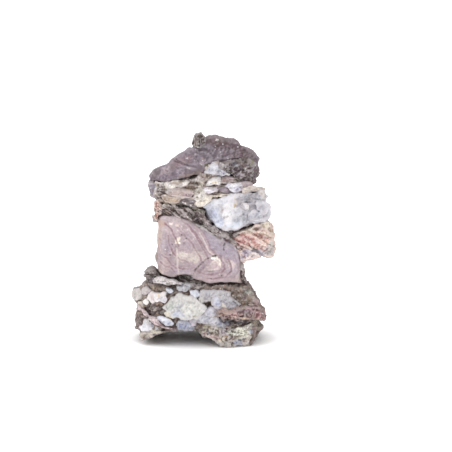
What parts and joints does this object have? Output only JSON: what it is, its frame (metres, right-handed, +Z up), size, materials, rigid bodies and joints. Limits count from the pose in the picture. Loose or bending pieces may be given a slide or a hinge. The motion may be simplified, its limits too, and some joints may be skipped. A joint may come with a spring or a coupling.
{
  "type": "bonsai accent rock",
  "caption": "Upright accent stone of tilted mauve schist beds with milky quartz lumps, an overhanging cap and a wide broken foot.",
  "frame": {"origin": "middle of the stone's box, on the surface that it stands on", "axes": "+Z up the stone, +X to its right as seen from its best face, which looks along -Y"},
  "size_m": [0.1395, 0.0977, 0.2001],
  "materials": {
    "schist": "dull mauve-grey schist with white quartz"
  },
  "bodies": {
    "root": {"rock": "schist"}
  },
  "joints": []
}
